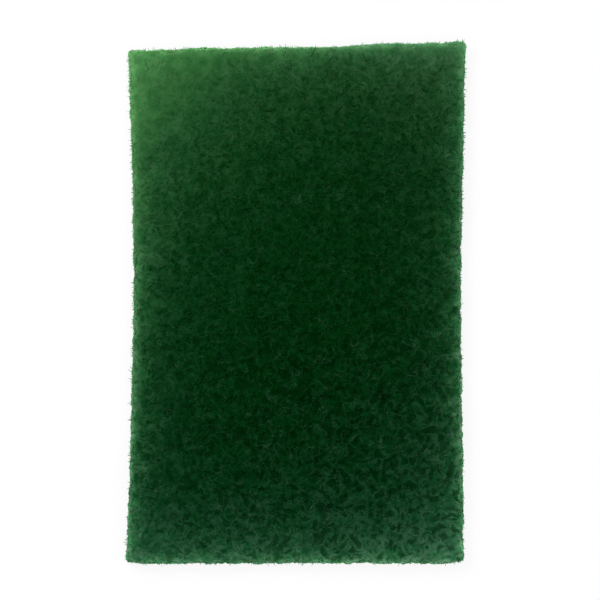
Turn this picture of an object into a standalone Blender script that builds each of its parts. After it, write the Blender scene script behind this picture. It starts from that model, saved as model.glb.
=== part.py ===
"""Scouring pad: one die-cut sheet of bonded, curled fibre, lying flat.

The pad is one solid, because the real one comes apart into nothing. Lengths are in metres. X runs across
the pad, Y along it towards its head edge, and Z up through its thickness. The origin is under the middle
of its bounding box, on the surface that it lies on.
"""

import math

import bmesh
import bpy
from mathutils import Vector, noise

# The sheet
PAD_WIDTH = 0.1511           # from side to side, at the corners
PAD_LENGTH = 0.2306          # from the foot edge to the head edge, along the left side
PAD_THICKNESS = 0.0080       # between the pressed lands of the two faces

# The outline that the cutter left
LEFT_BOW = 0.0027            # how far the left side draws in
RIGHT_BOW = 0.0017           # how far the right side draws in
BOW_PLACE = 0.0040           # the sides are slackest this far above the middle
BOW_POWER = 1.4              # 2 bows the sides in an even arc, 1 in two straight lines
SIDE_LEAN = 0.0010           # the head edge stands this far to the right of the foot edge
HEAD_CLIMB = 0.0026          # the head edge climbs steadily by this much from left to right
HEAD_STEP = 0.0009           # and by this much more in one soft step
HEAD_STEP_PLACE = 0.0300     # where the middle of that step is, right of the pad's middle
HEAD_STEP_RUN = 0.0200       # the length that the step takes
CORNER_RADIUS = 0.0013
CORNER_SEGMENTS = 2

# The cut wall and the rim that the cutter nipped
RAGGED_REACH = 0.0006        # how far bumps stand off the cut line
RAGGED_SPACING = 0.0075      # from one bump to the next
RIM_WIDTH = 0.0070           # the strip along each edge that was nipped
RIM_DIP = 0.0005             # how far each face dips over that strip
SHOULDER_WIDTH = 0.0020      # the steeper strip next to the cut
SHOULDER_DIP = 0.0005        # how much further each face dips there

# The two faces: lands that the press left level, with hollows between tufts of fibre
HOLLOW_DEPTH = 0.0010
TUFT_SPACING = 0.0100        # from one tuft to the next
LAND_LEVEL = 0.04            # noise value under which the face stays a level land
HOLLOW_LEVEL = 0.42          # noise value over which a hollow has its full depth
KNOT_DEPTH = 0.0008          # how far knots of fibre make a hollow deeper or shallower
KNOT_SPACING = 0.0045
PRESSED_DIP = 0.00006        # a dip shallower than this is pressed level with the lands
MATTING_SHIFT = 0.0016       # how far the matted fibre pulls the cells of a face out of line
MATTING_SPACING = 0.0070

# Unlike slices of the same noise
UPPER_FACE_LAYER = 0.37
LOWER_FACE_LAYER = 5.81
ACROSS_LAYER = 11.30
ALONG_LAYER = 17.70

# The grid of cells that carries the relief
CELL_SIZE = 0.0039
WALL_BANDS = 3
CUT_TOLERANCE = 1e-6

# The web: dark green fibre under resin, with a dull, gritty surface
WEB_COLOUR = (0.0075, 0.0400, 0.0130, 1.0)
WEB_ROUGHNESS = 0.85
WEB_SPECULAR = 0.25
SHARP_ANGLE = math.radians(50)

COLLECTION_NAME = "scouring pad"
NODE_NAME = "scouring_pad"


def smooth_step(low, high, value):
    """Goes smoothly from 0 at low to 1 at high."""
    t = min(max((value - low) / (high - low), 0.0), 1.0)
    return t * t * (3.0 - 2.0 * t)


def edge_distance(x, y):
    """Distance from a point of the plain block to its nearest side."""
    return max(min(PAD_WIDTH / 2 - abs(x), PAD_LENGTH / 2 - abs(y)), 0.0)


def side_bow(y):
    """How far the sides draw in at y, from 0 at the corners to 1 at the slackest point."""
    if y > BOW_PLACE:
        t = (y - BOW_PLACE) / (PAD_LENGTH / 2 - BOW_PLACE)
    else:
        t = (BOW_PLACE - y) / (PAD_LENGTH / 2 + BOW_PLACE)
    return 1.0 - t ** BOW_POWER


def head_rise(x):
    """How far the head edge stands beyond its left corner at x."""
    across = x / PAD_WIDTH + 0.5
    step_start = HEAD_STEP_PLACE - HEAD_STEP_RUN / 2
    return HEAD_CLIMB * across + HEAD_STEP * smooth_step(step_start, step_start + HEAD_STEP_RUN, x)


def wave(point, spacing, layer):
    """Smooth noise, from about -0.7 to 0.7, with bumps a given distance apart."""
    return noise.noise(Vector((point.x / spacing, point.y / spacing, point.z / spacing + layer)))


def face_dip(x, y, layer):
    """How deep a face lies under its level lands at a point: the nipped rim, then the hollows."""
    distance = edge_distance(x, y)
    rim = RIM_DIP * (1.0 - smooth_step(0.0, RIM_WIDTH, distance))
    rim += SHOULDER_DIP * (1.0 - smooth_step(0.0, SHOULDER_WIDTH, distance))
    place = Vector((x, y, 0.0))
    hollow = smooth_step(LAND_LEVEL, HOLLOW_LEVEL, wave(place, TUFT_SPACING, layer))
    dip = rim + hollow * (HOLLOW_DEPTH + KNOT_DEPTH * wave(place, KNOT_SPACING, layer))
    return dip if dip > PRESSED_DIP else 0.0


def shaped(point):
    """Moves a point of the plain block to its place on the pad."""
    x, y, z = point
    lower = face_dip(x, y, LOWER_FACE_LAYER)
    upper = PAD_THICKNESS - face_dip(x, y, UPPER_FACE_LAYER)
    height = lower + (upper - lower) * z / PAD_THICKNESS

    bow = (LEFT_BOW if x < 0 else RIGHT_BOW) * side_bow(y)
    moved = Vector((x * (1.0 - bow / (PAD_WIDTH / 2)), y, height))
    moved.x += SIDE_LEAN * y / PAD_LENGTH
    moved.y += head_rise(x) * (y / PAD_LENGTH + 0.5)

    inside = smooth_step(0.0, RIM_WIDTH, edge_distance(x, y))
    for axis, layer in ((0, ACROSS_LAYER), (1, ALONG_LAYER)):
        moved[axis] += (1.0 - inside) * RAGGED_REACH * wave(point, RAGGED_SPACING, layer)
        moved[axis] += inside * MATTING_SHIFT * wave(point, MATTING_SPACING, layer)
    return moved


def grid_lines(size):
    """Where the block is cut along one direction: a few lines in the rim, then even cells."""
    inner = size - 2 * RIM_WIDTH
    count = max(2, round(inner / CELL_SIZE))
    cells = [-inner / 2 + inner * i / count for i in range(count + 1)]
    edge = size / 2 - SHOULDER_WIDTH
    return [-edge] + cells + [edge]


def cut_block(block, axis, place):
    """Cuts the whole block across with a plane at one place along an axis."""
    point = Vector((0.0, 0.0, 0.0))
    point[axis] = place
    normal = Vector((0.0, 0.0, 0.0))
    normal[axis] = 1.0
    parts = block.verts[:] + block.edges[:] + block.faces[:]
    bmesh.ops.bisect_plane(block, geom=parts, dist=CUT_TOLERANCE, plane_co=point, plane_no=normal)


def plain_block():
    """The stamped block with its corners rounded, standing on the ground plane."""
    block = bmesh.new()
    bmesh.ops.create_cube(block, size=1.0)
    bmesh.ops.scale(block, vec=(PAD_WIDTH, PAD_LENGTH, PAD_THICKNESS), verts=block.verts)
    bmesh.ops.translate(block, vec=(0.0, 0.0, PAD_THICKNESS / 2), verts=block.verts)
    upright = [e for e in block.edges if abs(e.verts[0].co.z - e.verts[1].co.z) > PAD_THICKNESS / 2]
    bmesh.ops.bevel(block, geom=upright, offset=CORNER_RADIUS, offset_type="OFFSET", affect="EDGES",
                    segments=CORNER_SEGMENTS, profile=0.5, material=-1)
    return block


def centre_on_origin(block):
    """Puts the middle of the pad's bounding box over the origin, with its lands at height 0."""
    points = [v.co for v in block.verts]
    middle_x = (min(p.x for p in points) + max(p.x for p in points)) / 2
    middle_y = (min(p.y for p in points) + max(p.y for p in points)) / 2
    lowest = min(p.z for p in points)
    bmesh.ops.translate(block, vec=(-middle_x, -middle_y, -lowest), verts=block.verts)


def web_material():
    """Dull, dark green bonded web."""
    material = bpy.data.materials.new("green web")
    material.use_nodes = True
    shader = material.node_tree.nodes["Principled BSDF"]
    shader.inputs["Base Color"].default_value = WEB_COLOUR
    shader.inputs["Roughness"].default_value = WEB_ROUGHNESS
    shader.inputs["Metallic"].default_value = 0.0
    shader.inputs["Specular IOR Level"].default_value = WEB_SPECULAR
    material.diffuse_color = WEB_COLOUR
    return material


def make_pad(collection):
    """Builds the pad: a block, cut into cells, whose points are then moved into shape."""
    block = plain_block()
    for place in grid_lines(PAD_WIDTH):
        cut_block(block, 0, place)
    for place in grid_lines(PAD_LENGTH):
        cut_block(block, 1, place)
    for band in range(1, WALL_BANDS):
        cut_block(block, 2, PAD_THICKNESS * band / WALL_BANDS)
    for vertex in block.verts:
        vertex.co = shaped(vertex.co)
    centre_on_origin(block)
    bmesh.ops.triangulate(block, faces=block.faces[:])
    bmesh.ops.recalc_face_normals(block, faces=block.faces[:])

    mesh = bpy.data.meshes.new(NODE_NAME)
    block.to_mesh(mesh)
    block.free()
    mesh.shade_smooth()
    mesh.set_sharp_from_angle(angle=SHARP_ANGLE)
    mesh.materials.append(web_material())
    pad = bpy.data.objects.new(NODE_NAME, mesh)
    collection.objects.link(pad)
    return pad


def main():
    """Clears the scene and builds the pad in a collection of its own."""
    for item in list(bpy.data.objects):
        bpy.data.objects.remove(item, do_unlink=True)
    collection = bpy.data.collections.new(COLLECTION_NAME)
    bpy.context.scene.collection.children.link(collection)
    make_pad(collection)


main()
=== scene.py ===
"""Looks of the scouring pad: a matted web of curled green fibre, cut to a sheet and lying flat.

The CAD solid gives the pad's outline, thickness and larger hollows. The matted web lies just inside it, and
curled fibres lie over the web's two faces and its cut wall. All lengths are in metres.
"""

import logging
import math
from dataclasses import dataclass
from enum import Enum
from typing import Sequence

import bmesh
import bpy
import numpy as np
from bpy.types import ID, Material, Mesh, Node, NodeOutputs, NodeSocket, NodeTree
from bpy.types import NodeTreeInterfaceSocket, Object, bpy_prop_collection
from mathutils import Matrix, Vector, noise
from mathutils.bvhtree import BVHTree


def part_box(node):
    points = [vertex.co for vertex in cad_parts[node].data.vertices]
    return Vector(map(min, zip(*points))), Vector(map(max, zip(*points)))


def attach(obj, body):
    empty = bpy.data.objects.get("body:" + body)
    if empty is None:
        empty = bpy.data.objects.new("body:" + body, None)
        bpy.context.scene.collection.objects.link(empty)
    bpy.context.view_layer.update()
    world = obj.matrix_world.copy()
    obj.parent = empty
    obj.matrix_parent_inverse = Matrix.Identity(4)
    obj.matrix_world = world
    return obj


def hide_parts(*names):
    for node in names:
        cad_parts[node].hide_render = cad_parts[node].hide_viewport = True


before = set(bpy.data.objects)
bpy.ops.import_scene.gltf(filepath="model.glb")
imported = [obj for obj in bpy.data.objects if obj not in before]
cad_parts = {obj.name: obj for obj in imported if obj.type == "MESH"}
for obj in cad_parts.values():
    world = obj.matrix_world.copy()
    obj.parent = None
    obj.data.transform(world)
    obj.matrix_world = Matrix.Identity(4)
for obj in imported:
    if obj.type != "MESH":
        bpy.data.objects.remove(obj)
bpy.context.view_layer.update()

LOG = logging.getLogger("scouring pad")
NODE = "scouring_pad"
BODY = "root"

TONE = "tone"
CUT_DISTANCE = "cut_distance"
# Strength of the painted glow of light near the sides and at the upper left corner
GLOW = "glow"
# Openness of the pits, painted as shade
SHADE = "shade"
COARSE = "coarse"
BAKE_MAP = "OFBake"

Array = np.ndarray
Span = tuple[float, float]
Colour = tuple[float, float, float]
Number = float | NodeSocket
Paint = Colour | NodeSocket

# Values that most of a texture's noise lies between
NOISE_LIMITS: Span = (0.3, 0.7)

# Unlike layers of the noise that shapes the web and lays the fibres
CLUMP_LAYER = 3.0
CURL_LAYER = 12.0
PIT_LAYER = 25.0
BEND_LAYERS = (40.0, 49.0, 58.0)
SWIRL_LAYER = 60.0
TUFT_LAYER = 70.0

# Directions that hardly any face or fibre points in
ASLANT = np.array([0.36, 0.80, 0.48])
STEEP = np.array([0.31, 0.17, 0.93])


class Region(Enum):
    """A part of the web's skin that fibres lie on."""

    UPPER = "upper face"
    LOWER = "lower face"
    WALL = "cut wall"

    def holds(self, normals: Array) -> Array:
        """Says which of the skin's faces belong to this region.

        Args:
            normals: Unit normals, one row a face.

        Returns:
            A mask with one value a face.
        """
        steep = 0.55
        if self is Region.UPPER:
            return normals[:, 2] > steep
        if self is Region.LOWER:
            return normals[:, 2] < -steep
        return np.abs(normals[:, 2]) <= steep


def unit(vectors: Array) -> Array:
    """Scales vectors, one a row, to length 1."""
    return vectors / np.maximum(np.linalg.norm(vectors, axis=-1, keepdims=True), 1e-12)


def soft_step(low: float, high: float, values: Array) -> Array:
    """Goes smoothly from 0 at low to 1 at high."""
    t = np.clip((values - low) / (high - low), 0.0, 1.0)
    return t * t * (3.0 - 2.0 * t)


def soft_noise(points: Array, spacing: float, layer: float) -> Array:
    """Reads smooth noise at points.

    Args:
        points: One row a point.
        spacing: Distance from one bump of the noise to the next.
        layer: Offset that gives an unlike pattern.

    Returns:
        One value a point, mostly between -0.6 and 0.6.
    """
    places = points / spacing
    places[:, 2] += layer
    return np.array([noise.noise(Vector(p)) for p in places])


def read_rows(items: bpy_prop_collection, key: str, width: int = 3, kind: type = float) -> Array:
    """Reads one property of a mesh's points, faces or corners.

    Args:
        items: The points, faces or corners.
        key: Name of the property.
        width: How many numbers it has for each.
        kind: Type of the numbers.

    Returns:
        One row for each.
    """
    rows = np.empty(len(items) * width, dtype=kind)
    items.foreach_get(key, rows)
    return rows.reshape(-1, width)


def add_point_value(mesh: Mesh, name: str, values: Array) -> None:
    """Stores one number for each point of a mesh, for its material to read.

    Args:
        mesh: The mesh.
        name: Name of the attribute.
        values: One number a point.
    """
    attribute = mesh.attributes.new(name, "FLOAT", "POINT")
    attribute.data.foreach_set("value", np.ascontiguousarray(values, dtype=np.float32))


def new_object(name: str, data: ID) -> Object:
    """Puts a mesh, a lamp or a camera into the scene.

    Args:
        name: Name of the object.
        data: The mesh, lamp or camera.

    Returns:
        The object.
    """
    item = bpy.data.objects.new(name, data)
    bpy.context.scene.collection.objects.link(item)
    return item


def modified(plain: Mesh, name: str, kind: str, **settings: object) -> Mesh:
    """Applies one modifier to a mesh.

    Args:
        plain: The mesh, which is removed.
        name: Name of the new mesh.
        kind: The modifier's type.
        **settings: Its settings.

    Returns:
        The new mesh.
    """
    source = new_object("source", plain)
    modifier = source.modifiers.new("modifier", kind)
    for key, value in settings.items():
        setattr(modifier, key, value)
    graph = bpy.context.evaluated_depsgraph_get()
    mesh = bpy.data.meshes.new_from_object(source.evaluated_get(graph))
    mesh.name = name
    bpy.data.objects.remove(source)
    bpy.data.meshes.remove(plain)
    return mesh


@dataclass(frozen=True)
class CutOutline:
    """The cut line seen from above, as the place of each side along the pad.

    Attributes:
        across: Stations from left to right.
        along: Stations from the foot edge to the head edge.
        left: X of the left side at each station along.
        right: X of the right side at each station along.
        foot: Y of the foot edge at each station across.
        head: Y of the head edge at each station across.
    """

    across: Array
    along: Array
    left: Array
    right: Array
    foot: Array
    head: Array

    @classmethod
    def read(cls, solid: BVHTree, low: Sequence[float], high: Sequence[float]) -> "CutOutline":
        """Feels for the solid's sides with level rays at half its height.

        Args:
            solid: The CAD solid.
            low: Lowest corner of its box.
            high: Highest corner of its box.

        Returns:
            The outline.
        """
        spacing = 0.001
        corner_margin = 0.0025
        middle = (low[2] + high[2]) / 2
        span_x = (low[0] + corner_margin, high[0] - corner_margin)
        span_y = (low[1] + corner_margin, high[1] - corner_margin)
        across = np.linspace(*span_x, int((span_x[1] - span_x[0]) / spacing))
        along = np.linspace(*span_y, int((span_y[1] - span_y[0]) / spacing))

        def feel(start: Sequence[float], way: Sequence[float], axis: int) -> float:
            """Where a ray first meets the solid, along one axis."""
            return solid.ray_cast(Vector(start), Vector(way))[0][axis]

        return cls(
            across=across,
            along=along,
            left=np.array([feel((low[0] - 1, y, middle), (1, 0, 0), 0) for y in along]),
            right=np.array([feel((high[0] + 1, y, middle), (-1, 0, 0), 0) for y in along]),
            foot=np.array([feel((x, low[1] - 1, middle), (0, 1, 0), 1) for x in across]),
            head=np.array([feel((x, high[1] + 1, middle), (0, -1, 0), 1) for x in across]),
        )

    def sides(self, points: Array) -> Array:
        """Says how far points lie inside the left, right, foot and head sides.

        Args:
            points: One row a point.

        Returns:
            Four rows, one a side, of one distance a point, negative outside.
        """
        x, y = points[:, 0], points[:, 1]
        return np.stack([
            x - np.interp(y, self.along, self.left),
            np.interp(y, self.along, self.right) - x,
            y - np.interp(x, self.across, self.foot),
            np.interp(x, self.across, self.head) - y,
        ])

    def depth(self, points: Array) -> Array:
        """Says how far inside the nearest side points lie, a little under 0 for those that stand out."""
        outermost = -0.0006
        return np.clip(self.sides(points).min(axis=0), outermost, None)


@dataclass(frozen=True)
class PaintedGlow:
    """Painted glow of light: paler green painted near the sides and most of all at the upper left corner, in
    place of light that falls there.

    Attributes:
        side_reach: Distance from a side within which most of the painted glow there lies.
        sides: How strong the painted glow is at the left, right, foot and head sides.
        left_lean: How much stronger the left side's painted glow is at its head end than midway, as a share,
            and how much weaker at its foot end.
        corner_reach: Distance from a corner within which most of the painted glow there lies.
        corners: How much more painted glow there is at the head-left, head-right and foot-right corners.
    """

    side_reach: float = 0.018
    sides: tuple[float, float, float, float] = (0.107, 0.057, 0.158, 0.142)
    left_lean: float = 0.6
    corner_reach: float = 0.038
    corners: tuple[float, float, float] = (0.262, 0.046, 0.080)

    def amount(self, outline: CutOutline, points: Array) -> Array:
        """Says how strong the painted glow is at points.

        Args:
            outline: The cut line.
            points: One row a point.

        Returns:
            One value a point, from 0 to 1.
        """
        away = np.clip(outline.sides(points), 0.0, None)
        left, right, foot, head = away
        from_corners = np.stack([np.hypot(left, head), np.hypot(right, head), np.hypot(right, foot)])
        near = np.exp(-away / self.side_reach)
        near[0] *= 1.0 + self.left_lean * (foot - head) / (foot + head)
        total = np.array(self.sides) @ near
        total += np.array(self.corners) @ np.exp(-from_corners / self.corner_reach)
        return np.clip(total, 0.0, 1.0)


@dataclass(frozen=True)
class LooseCorner:
    """Where the web is coarser, with larger curls and open pits: towards the foot edge, on the right.

    Attributes:
        centre: Middle of the coarse part, seen from above.
        core: Radius within which it is fully coarse.
        reach: Radius at which the coarseness has faded.
    """

    centre: tuple[float, float] = (0.040, -0.105)
    core: float = 0.025
    reach: float = 0.150

    def share(self, points: Array) -> Array:
        """How coarse the web is at points, from 0 to 1."""
        away = np.hypot(points[:, 0] - self.centre[0], points[:, 1] - self.centre[1])
        return 1.0 - soft_step(self.core, self.reach, away)


@dataclass(frozen=True)
class OpenPits:
    """Gaps between the curls, where one looks down into the web: the web sinks there, and painted shade
    darkens them.

    Attributes:
        spacing: Distance between gaps.
        bounds: Noise values at which a gap starts and at which it is fully open.
        bend_spacing: Distance between the bends that make the gaps uneven.
        bend: Reach of the bends.
        openness: How open the gaps are in the close part of the web and in its coarse corner.
    """

    spacing: float = 0.0040
    bounds: Span = (0.24, 0.44)
    bend_spacing: float = 0.0065
    bend: float = 0.0051
    openness: Span = (0.35, 0.95)

    def bent(self, points: Array) -> Array:
        """Moves points to and fro by smooth noise, for patterns that are read there."""
        shifts = [soft_noise(points, self.bend_spacing, layer) for layer in BEND_LAYERS]
        return points + np.stack(shifts, axis=1) * self.bend

    def amount(self, points: Array, loose: Array) -> Array:
        """How open the web is at points.

        Args:
            points: One row a point.
            loose: How coarse the web is there.

        Returns:
            One value a point, from 0 to 1.
        """
        open_share = soft_step(*self.bounds, soft_noise(self.bent(points), self.spacing, PIT_LAYER))
        return open_share * (self.openness[0] + (self.openness[1] - self.openness[0]) * loose)


@dataclass(frozen=True)
class SheetLayout:
    """Where the sheet is cut, where it is coarse or open, and where the glow of light is painted.

    Attributes:
        outline: The cut line.
        corner: Where the web is coarser.
        pits: Where it is open.
        glow: Where the glow of light is painted, and how strong it is; the web is matted flatter there.
        flattened: How strong the painted glow is where the web is matted quite flat.
    """

    outline: CutOutline
    corner: LooseCorner
    pits: OpenPits
    glow: PaintedGlow
    flattened: float = 0.20

    def flat_share(self, points: Array) -> Array:
        """How flat the web is matted at points, from 0 to 1."""
        return np.clip(self.glow.amount(self.outline, points) / self.flattened, 0.0, 1.0)

    def open_share(self, points: Array) -> Array:
        """How open the web is at points, from 0 to 1."""
        return self.pits.amount(points, self.corner.share(points)) * (1.0 - self.flat_share(points))

    def point_values(self, points: Array) -> dict[str, Array]:
        """Finds the numbers that a material reads at points.

        Args:
            points: Points, in an array of any shape with rows of 3.

        Returns:
            For each name, an array of that shape without its last side.
        """
        flat = points.reshape(-1, 3)
        values = {
            CUT_DISTANCE: self.outline.depth(flat),
            GLOW: self.glow.amount(self.outline, flat),
            SHADE: self.open_share(flat),
            COARSE: self.corner.share(flat),
        }
        return {name: value.reshape(points.shape[:-1]) for name, value in values.items()}


@dataclass
class MattedWeb:
    """The matted body of the sheet, which the fibres of its faces lie on.

    Attributes:
        name: Name of the piece.
        cell: Size of the mesh's cells.
        fibre_cover: How far the web lies inside the CAD solid, for the fibres that cover it.
        clump_spacing: Distance between clumps.
        clump_relief: How far clumps stand out.
        curl_spacing: Distance between the ridges of curled fibre.
        curl_relief: How far the ridges stand out.
        ridge_shape: Height of a ridge's crest, and how steeply the ridge falls off, as shares of that.
        curl_gain: What the ridges are multiplied by in the close web, and what the coarse corner adds.
        pit_depth: Depth of the open pits.
        floor_gap: How high the web's lowest points stay over the floor.
    """

    name: str = "matted_web"
    cell: float = 0.00095
    fibre_cover: float = 0.00030
    clump_spacing: float = 0.0065
    clump_relief: float = 0.00045
    curl_spacing: float = 0.0032
    curl_relief: float = 0.00032
    ridge_shape: Span = (0.35, 1.8)
    curl_gain: Span = (0.75, 0.6)
    pit_depth: float = 0.0010
    floor_gap: float = 0.00015

    def build(self, sheet: SheetLayout) -> Object:
        """Builds the web from the CAD solid.

        Args:
            sheet: The lie of the sheet.

        Returns:
            The web's object.
        """
        piece = self._even_cells()
        points = self._with_relief(piece.data, sheet)
        piece.data.vertices.foreach_set("co", points.ravel())
        piece.data.update()
        piece.data.shade_smooth()
        for name, values in sheet.point_values(points).items():
            add_point_value(piece.data, name, values)
        self._lay_bake_map(piece.data)
        return piece

    def _even_cells(self) -> Object:
        """Makes a copy of the CAD solid with small, even cells.

        Returns:
            The copy, named as the piece.
        """
        solid = bmesh.new()
        solid.from_mesh(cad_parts[NODE].data)
        bmesh.ops.remove_doubles(solid, verts=solid.verts, dist=1e-6)
        plain = bpy.data.meshes.new("plain web")
        solid.to_mesh(plain)
        solid.free()
        mesh = modified(plain, self.name, "REMESH", mode="VOXEL", voxel_size=self.cell)
        return new_object(self.name, mesh)

    def _with_relief(self, mesh: Mesh, sheet: SheetLayout) -> Array:
        """Moves the web's points along their normals: clumps, ridges of curled fibre, and pits.

        Args:
            mesh: The web's plain mesh.
            sheet: The lie of the sheet.

        Returns:
            The moved points.
        """
        points = read_rows(mesh.vertices, "co")
        normals = read_rows(mesh.vertex_normals, "vector")
        loose = sheet.corner.share(points)
        clumps = soft_noise(points, self.clump_spacing, CLUMP_LAYER)
        folds = np.abs(soft_noise(sheet.pits.bent(points), self.curl_spacing, CURL_LAYER))
        ridges = self.ridge_shape[0] - folds * self.ridge_shape[1]
        strength = self.curl_gain[0] + self.curl_gain[1] * loose
        lift = self.clump_relief * clumps + self.curl_relief * ridges * strength
        lift -= self.pit_depth * sheet.open_share(points)
        points = points + normals * (lift - self.fibre_cover)[:, None]
        points[:, 2] = np.maximum(points[:, 2], self.floor_gap)
        return points

    def _lay_bake_map(self, mesh: Mesh) -> None:
        """Maps each face flat from above or below, and the wall as four strips.

        Args:
            mesh: The web's finished mesh.
        """
        scale, gap, strip_pitch = 3.2, 0.01, 0.05
        low, high = (np.array(c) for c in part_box(NODE))
        width, length = high[0] - low[0], high[1] - low[1]
        sizes = read_rows(mesh.polygons, "loop_total", 1, np.int32).ravel()
        normals = np.repeat(read_rows(mesh.polygons, "normal"), sizes, axis=0)
        corners = read_rows(mesh.loops, "vertex_index", 1, np.int32).ravel()
        x, y, z = (read_rows(mesh.vertices, "co")[corners] - low).T

        first_strip = length * scale + gap
        place = np.stack([x, y], axis=1) * scale
        lower = normals[:, 2] < 0
        place[lower, 0] += width * scale + gap
        wall = np.abs(normals[:, 2]) < 0.5
        sideways = np.abs(normals[:, 0]) > np.abs(normals[:, 1])
        for k, (chosen, run) in enumerate((
            (wall & sideways & (normals[:, 0] < 0), y),
            (wall & sideways & (normals[:, 0] > 0), y),
            (wall & ~sideways & (normals[:, 1] < 0), x),
            (wall & ~sideways & (normals[:, 1] > 0), x),
        )):
            place[chosen, 0] = run[chosen] * scale
            place[chosen, 1] = first_strip + k * strip_pitch + z[chosen] * scale
        layer = mesh.uv_layers.new(name=BAKE_MAP)
        layer.uv.foreach_set("vector", np.clip(place, 0.0, 1.0).astype(np.float32).ravel())


class WebSkin:
    """The web's finished surface, on which fibres are scattered and laid."""

    def __init__(self, web: Object) -> None:
        """Reads the surface.

        Args:
            web: The matted web.
        """
        shape = bmesh.new()
        shape.from_mesh(web.data)
        bmesh.ops.triangulate(shape, faces=shape.faces[:])
        self.tree = BVHTree.FromBMesh(shape)
        corners = np.array([[v.co for v in f.verts] for f in shape.faces])
        shape.free()
        self.corners = corners
        cross = np.cross(corners[:, 1] - corners[:, 0], corners[:, 2] - corners[:, 0])
        self.areas = np.linalg.norm(cross, axis=1) / 2
        self.normals = unit(cross)

    def scatter(self, rng: np.random.Generator, count: int, region: Region) -> tuple[Array, Array]:
        """Picks evenly spread points of one region.

        Args:
            rng: Source of the random draws.
            count: How many points to pick.
            region: Where to pick them.

        Returns:
            The points and the surface's normals there.
        """
        faces = np.flatnonzero(region.holds(self.normals))
        reach = np.cumsum(self.areas[faces])
        steps = (np.arange(count) + rng.random(count)) / count
        chosen = faces[np.searchsorted(reach, steps * reach[-1])]
        u, v = rng.random(count), rng.random(count)
        over = u + v > 1
        u[over], v[over] = 1 - u[over], 1 - v[over]
        a, b, c = (self.corners[chosen, k] for k in range(3))
        return a + (b - a) * u[:, None] + (c - a) * v[:, None], self.normals[chosen]

    def nearest(self, points: Array) -> tuple[Array, Array]:
        """Finds the nearest places of the skin.

        Args:
            points: Points near the skin, in an array of any shape with rows of 3.

        Returns:
            The nearest places and the normals there, in the same shape.
        """
        flat = points.reshape(-1, 3)
        found = [self.tree.find_nearest(Vector(p)) for p in flat]
        places = np.array([f[0] for f in found]).reshape(points.shape)
        normals = np.array([f[1] for f in found]).reshape(points.shape)
        return places, normals


@dataclass(frozen=True)
class FibreTube:
    """One closed three-sided tube, copied and bent into many fibres.

    Attributes:
        rings: How many rings of three points a tube has.
    """

    rings: int = 6

    def _straight(self) -> Mesh:
        """Makes one straight tube of radius 1 along Z, with a unit from ring to ring.

        Returns:
            Its mesh, with the tube's own small map.
        """
        tube = bmesh.new()
        uv = tube.loops.layers.uv.new(BAKE_MAP)
        length = self.rings - 1
        bmesh.ops.create_cone(tube, cap_ends=True, segments=3, radius1=1.0, radius2=1.0, depth=length)
        bmesh.ops.translate(tube, vec=(0.0, 0.0, length / 2), verts=tube.verts)
        long_edges = [e for e in tube.edges if abs(e.verts[0].co.z - e.verts[1].co.z) > length / 2]
        bmesh.ops.subdivide_edges(tube, edges=long_edges, cuts=self.rings - 2)
        bmesh.ops.recalc_face_normals(tube, faces=tube.faces[:])
        side_width, side_height = 0.85, 0.96
        end_column, end_rows, end_reach = 0.93, (0.25, 0.7), (0.05, 0.2)
        for face in tube.faces:
            middle = face.calc_center_median()
            row = end_rows[middle.z > length / 2]
            side = math.floor((math.atan2(middle.y, middle.x) % math.tau) / (math.tau / 3) + 1e-6)
            for loop in face.loops:
                at = loop.vert.co
                if abs(face.normal.z) > 0.5:
                    spot = (end_column + end_reach[0] * at.x, row + end_reach[1] * at.y)
                else:
                    far = 1.0 if middle.xy.angle_signed(at.xy) < 0 else 0.0
                    spot = (side_width * at.z / length, (side + far) / 3 * side_height)
                loop[uv].uv = spot
        mesh = bpy.data.meshes.new("fibre tube")
        tube.to_mesh(mesh)
        tube.free()
        return mesh

    def bundle(self, name: str, centres: Array, radii: Array, values: dict[str, Array]) -> Mesh:
        """Copies the tube once for each fibre and bends each copy along its own line.

        Args:
            name: Name of the mesh.
            centres: Ring centres, as an array of fibres by rings by 3.
            radii: Ring radii, as an array of fibres by rings.
            values: Numbers for the material to read, each as an array of fibres by rings.

        Returns:
            The mesh of all the fibres.
        """
        count = len(centres)
        straight = self._straight()
        one = read_rows(straight.vertices, "co")
        ring = np.rint(one[:, 2]).astype(int)
        around = np.arctan2(one[:, 1], one[:, 0])
        mesh = modified(straight, name, "ARRAY", count=count, use_relative_offset=False,
                        use_constant_offset=True, constant_offset_displace=(0.0, 0.0, 0.0))
        sides, ups = self._ring_frames(centres)
        spin = np.cos(around)[None, :, None] * sides[:, ring] + np.sin(around)[None, :, None] * ups[:, ring]
        points = centres[:, ring] + radii[:, ring, None] * spin
        mesh.vertices.foreach_set("co", points.ravel())
        for label, numbers in values.items():
            add_point_value(mesh, label, numbers[:, ring].ravel())
        self._spread_map(mesh, count)
        mesh.update()
        mesh.shade_smooth()
        return mesh

    def _ring_frames(self, centres: Array) -> tuple[Array, Array]:
        """Two directions square to each fibre at each ring, carried along without twist.

        Args:
            centres: Ring centres, as an array of fibres by rings by 3.

        Returns:
            The two directions, each as an array of fibres by rings by 3.
        """
        ahead = unit(np.gradient(centres, axis=1))
        side = np.cross(ahead[:, 0], STEEP)
        sides = np.empty_like(ahead)
        for k in range(self.rings):
            side = unit(side - (side * ahead[:, k]).sum(1, keepdims=True) * ahead[:, k])
            sides[:, k] = side
        return sides, np.cross(ahead, sides)

    def _spread_map(self, mesh: Mesh, count: int) -> None:
        """Gives each fibre its own small square of the map.

        Args:
            mesh: The mesh of all the fibres.
            count: How many fibres it has.
        """
        margin = 0.05
        layer = mesh.uv_layers[BAKE_MAP]
        spots = read_rows(layer.uv, "vector", 2, np.float32).reshape(count, -1, 2)
        columns = math.ceil(math.sqrt(count))
        index = np.arange(count)
        squares = np.stack([index % columns, index // columns], axis=1)
        spots = (spots * (1.0 - 2.0 * margin) + margin + squares[:, None, :]) / columns
        layer.uv.foreach_set("vector", spots.astype(np.float32).ravel())


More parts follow.
